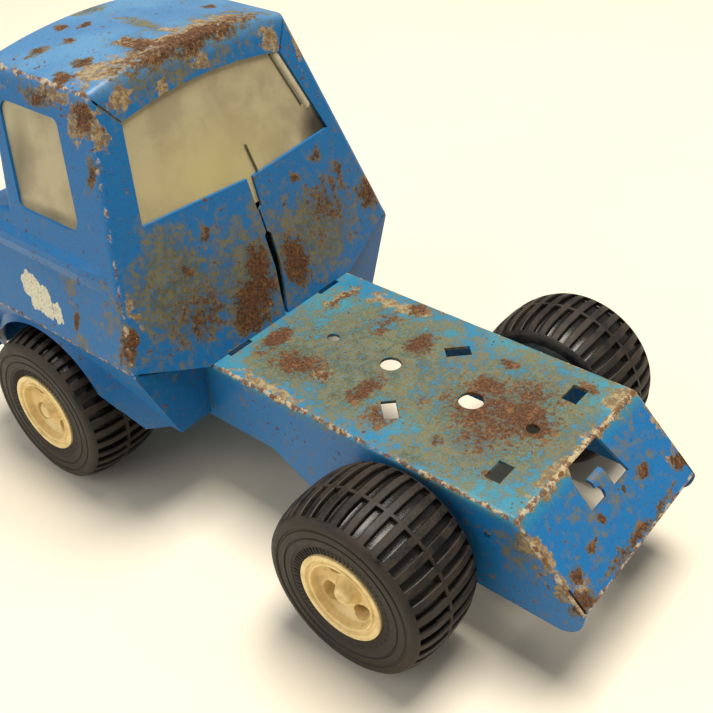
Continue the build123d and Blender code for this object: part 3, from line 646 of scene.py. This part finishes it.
HUB_HOLES = 4
HUB_TURN = 37.0
HUB_HOLE_PLACE = 7.1
HUB_HOLE_HALF = (2.0, 2.9)
HUB_HOLE_DEPTH = 11.0
HUB_STEPS = 180
HUB_PROFILE = ((0.0, -0.55), (1.9, -0.6), (2.35, -0.8), (2.6, -1.2), (4.4, -4.0), (4.8, -4.2),
               (7.3, -4.2), (7.8, -4.1), (9.1, -3.1), (9.5, -2.7), (10.0, -0.7), (10.2, -0.35),
               (10.5, -0.3), (10.75, -0.45), (10.95, -0.85), (11.5, -0.85), (11.7, -0.6),
               (11.95, -0.1), (12.2, 0.0), (13.2, 0.0), (13.5, -0.12), (13.6, -0.4))


def hub_face(radius):
    """Height of the hub's face at a radius, measured out from the tyre's side."""
    for (r0, h0), (r1, h1) in zip(HUB_PROFILE, HUB_PROFILE[1:]):
        if radius <= r1:
            return h0 + (h1 - h0) * (radius - r0) / (r1 - r0)
    return HUB_PROFILE[-1][1]


def hub_pocket(radius, angle):
    """Depth of the lightening holes, which end deep inside the hub."""
    spacing = 2 * math.pi / HUB_HOLES
    away = (angle - math.radians(HUB_TURN) + spacing / 2) % spacing - spacing / 2
    outward = (radius * math.cos(away) - HUB_HOLE_PLACE) / HUB_HOLE_HALF[0]
    sideways = radius * math.sin(away) / HUB_HOLE_HALF[1]
    reach = math.hypot(outward, sideways)
    share = min(max((1.06 - reach) / 0.14, 0), 1)
    return HUB_HOLE_DEPTH * share * share * (3 - 2 * share)


def hub(place, material):
    """Cream wheel centre: rim rings, dish, four deep holes and a tapered boss."""
    centre, half, _, side = wheel_middle(place)
    turns = HUB_STEPS
    radii = sorted({r for r, _ in HUB_PROFILE[1:]} | {4.0 + 0.18 * k for k in range(34)} | {1.0, 3.2})
    face_x = centre.x + side * half * MM
    back_x = centre.x - side * (half - HUB_INSET) * MM
    mesh = bpy.data.meshes.new("hub_" + place)
    vertices = [(face_x + side * HUB_PROFILE[0][1] * MM, centre.y, centre.z)]
    for radius in radii:
        for k in range(turns):
            angle = 2 * math.pi * k / turns
            out = hub_face(radius) - hub_pocket(radius, angle)
            vertices.append((face_x + side * out * MM, centre.y + radius * math.cos(angle) * MM,
                             centre.z + radius * math.sin(angle) * MM))
    for radius in (radii[-1], 4.5, 2.2):
        for k in range(turns):
            angle = 2 * math.pi * k / turns
            vertices.append((back_x, centre.y + radius * math.cos(angle) * MM,
                             centre.z + radius * math.sin(angle) * MM))
    vertices.append((back_x, centre.y, centre.z))
    faces = []
    rings = len(radii) + 3
    for k in range(turns):
        after = (k + 1) % turns
        faces.append((0, 1 + k, 1 + after))
        last = 1 + (rings - 1) * turns
        faces.append((len(vertices) - 1, last + after, last + k))
        for ring in range(rings - 1):
            base = 1 + ring * turns
            faces.append((base + k, base + turns + k, base + turns + after, base + after))
    mesh.from_pydata(vertices, [], faces)
    piece = finished("hub_moulded_" + place, mesh, 40)
    assign(piece, material)
    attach(piece, place.split("_")[0] + "_wheelset")
    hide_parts("hub_" + place)


# Small pieces on the cab ---------------------------------------------------------------------

def back_bar(name, start, end, width, height, sink, material):
    """Round-topped bar on the cab's leaning back, from one (x, drop) place to another."""
    a, b = Vector(on_back(*start)), Vector(on_back(*end))
    along = (b - a).normalized()
    outward = Vector((0, ROOF_REAR[2] - BELT_REAR[2], BELT_REAR[1] - ROOF_REAR[1])).normalized()
    across = along.cross(outward)
    mesh = bpy.data.meshes.new(name)
    made = bmesh.new()
    ends, around = 5, 10
    length = (b - a).length
    rows = []
    for i in range(2 * ends):
        turn = math.pi / 2 * (i % ends) / (ends - 1)
        if i < ends:
            place, swell = width / 2 * (1 - math.cos(turn)), math.sin(turn)
        else:
            place, swell = length - width / 2 * (1 - math.sin(turn)), math.cos(turn)
        row = []
        for k in range(around):
            lean = 2 * math.pi * k / around
            offset = across * (width / 2 * swell * math.cos(lean))
            offset += outward * (height * swell * math.sin(lean) - sink)
            row.append(made.verts.new((a + along * place + offset) * MM))
        rows.append(row)
    for one, other in zip(rows, rows[1:]):
        for k in range(around):
            after = (k + 1) % around
            made.faces.new((one[k], one[after], other[after], other[k]))
    bmesh.ops.remove_doubles(made, verts=made.verts, dist=0.01 * MM)
    made.to_mesh(mesh)
    made.free()
    piece = finished(name, mesh, 50)
    assign(piece, material)
    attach(piece, "body")


# Putting it together -------------------------------------------------------------------------

window = clouded_window()
steel_axle = steel("axle_steel", tint(120, 112, 102), 0.02)
trim = moulded("trim_cream", tint(206, 198, 176), tint(184, 172, 144), 0.38)
node_looks = {
    "chassis": chassis_enamel(),
    "cab_shell": cab_enamel(),
    "window_insert": window,
    "grille": trim,
    "headlight_left": moulded("lens_clear", tint(214, 204, 168), tint(190, 176, 132), 0.16),
    "front_bumper": bumper_enamel(),
    "bumper_rivets": steel("rivet_steel", tint(150, 144, 134), 0.0),
    "front_axle": steel_axle,
    "rear_axle": steel_axle,
}
node_looks["headlight_right"] = node_looks["headlight_left"]
for name, look in node_looks.items():
    assign(frame["nodes"][name], look)

tyre_rubber = rubber()
hub_cream = hub_plastic()
back_grey = moulded("wheel_back_grey", tint(128, 132, 118), tint(104, 106, 92), 0.5)
for end in ("front", "rear"):
    for side_name in ("left", "right"):
        corner = end + "_" + side_name
        tyre(corner, tyre_rubber)
        hub(corner, hub_cream)
        assign(frame["nodes"]["wheel_back_" + corner], back_grey)

sliver_grey = moulded("sliver_grey", tint(104, 102, 78), tint(84, 84, 64), 0.5)
# Painted highlight: the ridge's paler cream stands for the bright highlight along the moulded rib.
ridge_highlight_cream = moulded("ridge_highlight_cream", tint(196, 188, 160), tint(182, 172, 142), 0.3)
back_bar("window_ridge", (-31.4, 9.5), (-39.2, 31.0), 2.6, 0.6, SHEET, ridge_highlight_cream)
# Painted shade: a grey line beside the rib for the shaded groove next to it.
back_bar("window_groove_shade", (-29.4, 10.0), (-36.2, 29.0), 0.8, 0.5, SHEET, sliver_grey)
back_bar("window_sliver", (-8.0, 32.0), (-9.2, 41.5), 0.7, 0.5, SHEET - 0.3, sliver_grey)


# Floor, light and camera ---------------------------------------------------------------------

FLOOR_HALF = 3.0
AIM = Vector((0, 0, 0.05))


def floor():
    """A plain pale floor that reaches past every view."""
    half = FLOOR_HALF
    mesh = bpy.data.meshes.new("floor")
    corners = [(-half, -half, 0), (half, -half, 0), (half, half, 0), (-half, half, 0)]
    mesh.from_pydata(corners, [], [(0, 1, 2, 3)])
    piece = bpy.data.objects.new("floor", mesh)
    scene.collection.objects.link(piece)
    g = Graph("floor_paper")
    tone = g.mix(g.noise(160, 3), (0.81, 0.74, 0.61), (0.84, 0.77, 0.64))
    assign(piece, g.surface(Base_Color=tone, Roughness=g.span(g.noise(40, 2), 0.6, 0.8),
                            Normal=g.bump(g.noise(3, 3), 0.1, 0.1)))


def light(name, towards, distance, size, power, colour):
    """A square area light, which the truck sees in the direction given."""
    data = bpy.data.lights.new(name, "AREA")
    data.size = size
    data.energy = power
    data.color = colour
    piece = bpy.data.objects.new(name, data)
    direction = Vector(towards).normalized()
    piece.location = AIM + direction * distance
    piece.rotation_euler = direction.to_track_quat("Z", "Y").to_euler()
    scene.collection.objects.link(piece)


def world(colour, strength):
    """Even soft surround."""
    made = bpy.data.worlds.new("studio")
    made.use_nodes = True
    back = made.node_tree.nodes["Background"]
    back.inputs["Color"].default_value = (*colour, 1.0)
    back.inputs["Strength"].default_value = strength
    scene.world = made


def camera():
    """Behind, above and to the left of the truck."""
    data = bpy.data.cameras.new("camera")
    data.sensor_width = 36.0
    data.lens = 52.3
    data.shift_x = 0.0208
    data.shift_y = -0.0464
    data.clip_start = 0.01
    piece = bpy.data.objects.new("camera", data)
    piece.location = (0.1989, 0.1787, 0.2420)
    piece.rotation_euler = [math.radians(a) for a in (54.75, 2.01, 129.31)]
    scene.collection.objects.link(piece)
    scene.camera = piece


floor()
world((1.0, 0.96, 0.90), 0.29)
light("key", (-0.2, 0.02, 1.0), 1.5, 0.78, 31.0, (1.0, 0.94, 0.84))
light("fill", (1.0, -0.45, 0.55), 1.0, 0.9, 3.8, (0.94, 0.97, 1.0))
camera()
scene.view_settings.view_transform = "Standard"
